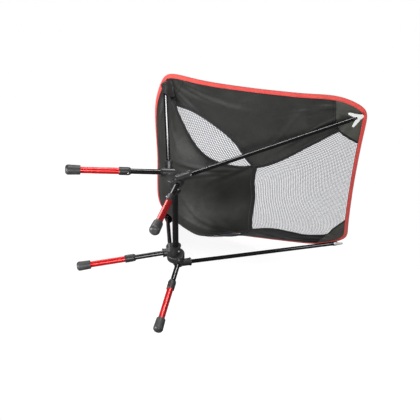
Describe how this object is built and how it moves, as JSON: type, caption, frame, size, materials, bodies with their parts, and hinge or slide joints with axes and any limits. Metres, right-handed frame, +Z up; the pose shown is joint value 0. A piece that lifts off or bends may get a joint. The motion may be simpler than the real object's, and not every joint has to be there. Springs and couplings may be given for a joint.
{
  "type": "folding camp chair",
  "caption": "Compact folding camp chair: hub-and-pole frame with telescopic rubber-footed legs stretching a fabric and mesh bucket sling.",
  "frame": {"origin": "on the floor plane, midway between the left and right feet and midway between the front and top edges of the sling", "axes": "+Z up, -Y the way the sitter faces, +X the left-hand side of the sitter"},
  "size_m": [0.5512, 0.5077, 0.7089],
  "materials": {
    "tube_black": "gloss black anodised tube",
    "tube_red": "gloss red anodised tube",
    "bare_aluminium": "satin",
    "hub_plastic": "satin moulded nylon",
    "clamp_plastic": "satin",
    "rubber": "matte rubber",
    "chrome": "polished",
    "steel": "satin",
    "fabric_black": "plain weave coated polyester",
    "fabric_grey": "plain weave reinforcement",
    "mesh_black": "open knitted mesh",
    "binding_red": "woven edge tape",
    "cap_silver": "silver-white moulded plastic"
  },
  "bodies": {
    "frame_and_sling": {"crossbar": "tube_black", "hub_left": "hub_plastic", "hub_right": "hub_plastic", "hub_rivets": "steel", "seat_pole_left": "tube_black", "seat_pole_tip_left": "hub_plastic", "back_pole_lower_left": "tube_black", "back_pole_upper_left": "tube_black", "back_pole_ferrule_left": "bare_aluminium", "back_pole_tip_left": "hub_plastic", "seat_pocket_left": "fabric_black", "corner_cap_left": "cap_silver", "side_panel_left": "fabric_black", "corner_patch_left": "fabric_grey", "seat_mesh_left": "mesh_black", "seat_pole_right": "tube_black", "seat_pole_tip_right": "hub_plastic", "back_pole_lower_right": "tube_black", "back_pole_upper_right": "tube_black", "back_pole_ferrule_right": "bare_aluminium", "back_pole_tip_right": "hub_plastic", "seat_pocket_right": "fabric_black", "corner_cap_right": "cap_silver", "side_panel_right": "fabric_black", "corner_patch_right": "fabric_grey", "seat_mesh_right": "mesh_black", "seat_panel": "fabric_black", "back_mesh": "mesh_black", "edge_binding": "binding_red"},
    "upper_leg_front_left": {"upper_leg_front_left": "tube_black"},
    "lower_leg_front_left": {"lower_leg_front_left": "tube_red", "leg_clamp_front_left": "clamp_plastic", "foot_front_left": "rubber"},
    "lock_button_front_left": {"lock_button_front_left": "chrome"},
    "upper_leg_rear_left": {"upper_leg_rear_left": "tube_black"},
    "lower_leg_rear_left": {"lower_leg_rear_left": "tube_red", "leg_clamp_rear_left": "clamp_plastic", "foot_rear_left": "rubber"},
    "lock_button_rear_left": {"lock_button_rear_left": "chrome"},
    "upper_leg_front_right": {"upper_leg_front_right": "tube_black"},
    "lower_leg_front_right": {"lower_leg_front_right": "tube_red", "leg_clamp_front_right": "clamp_plastic", "foot_front_right": "rubber"},
    "lock_button_front_right": {"lock_button_front_right": "chrome"},
    "upper_leg_rear_right": {"upper_leg_rear_right": "tube_black"},
    "lower_leg_rear_right": {"lower_leg_rear_right": "tube_red", "leg_clamp_rear_right": "clamp_plastic", "foot_rear_right": "rubber"},
    "lock_button_rear_right": {"lock_button_rear_right": "chrome"}
  },
  "joints": [
    {"name": "leg_pull_front_left", "type": "slide", "parent": "frame_and_sling", "child": "upper_leg_front_left", "axis": [0.1134, -0.6153, -0.7801], "range_m": [0, 0.03], "stiffness_N_per_m": 60, "springref_m": -0.08},
    {"name": "leg_height_front_left", "type": "slide", "parent": "upper_leg_front_left", "child": "lower_leg_front_left", "axis": [-0.1134, 0.6153, 0.7801], "range_m": [0, 0.05]},
    {"name": "lock_press_front_left", "type": "slide", "parent": "lower_leg_front_left", "child": "lock_button_front_left", "axis": [-0.0885, -0.7883, 0.6089], "range_m": [0, 0.0015], "stiffness_N_per_m": 500, "springref_m": -0.001},
    {"name": "leg_pull_rear_left", "type": "slide", "parent": "frame_and_sling", "child": "upper_leg_rear_left", "axis": [0.1423, 0.5286, -0.8369], "range_m": [0, 0.03], "stiffness_N_per_m": 60, "springref_m": -0.08},
    {"name": "leg_height_rear_left", "type": "slide", "parent": "upper_leg_rear_left", "child": "lower_leg_rear_left", "axis": [-0.1423, -0.5286, 0.8369], "range_m": [0, 0.05]},
    {"name": "lock_press_rear_left", "type": "slide", "parent": "lower_leg_rear_left", "child": "lock_button_rear_left", "axis": [-0.0886, 0.8489, 0.5211], "range_m": [0, 0.0015], "stiffness_N_per_m": 500, "springref_m": -0.001},
    {"name": "leg_pull_front_right", "type": "slide", "parent": "frame_and_sling", "child": "upper_leg_front_right", "axis": [-0.1134, -0.6153, -0.7801], "range_m": [0, 0.03], "stiffness_N_per_m": 60, "springref_m": -0.08},
    {"name": "leg_height_front_right", "type": "slide", "parent": "upper_leg_front_right", "child": "lower_leg_front_right", "axis": [0.1134, 0.6153, 0.7801], "range_m": [0, 0.05]},
    {"name": "lock_press_front_right", "type": "slide", "parent": "lower_leg_front_right", "child": "lock_button_front_right", "axis": [0.0885, -0.7883, 0.6089], "range_m": [0, 0.0015], "stiffness_N_per_m": 500, "springref_m": -0.001},
    {"name": "leg_pull_rear_right", "type": "slide", "parent": "frame_and_sling", "child": "upper_leg_rear_right", "axis": [-0.1423, 0.5286, -0.8369], "range_m": [0, 0.03], "stiffness_N_per_m": 60, "springref_m": -0.08},
    {"name": "leg_height_rear_right", "type": "slide", "parent": "upper_leg_rear_right", "child": "lower_leg_rear_right", "axis": [0.1423, -0.5286, 0.8369], "range_m": [0, 0.05]},
    {"name": "lock_press_rear_right", "type": "slide", "parent": "lower_leg_rear_right", "child": "lock_button_rear_right", "axis": [0.0886, 0.8489, 0.5211], "range_m": [0, 0.0015], "stiffness_N_per_m": 500, "springref_m": -0.001}
  ]
}
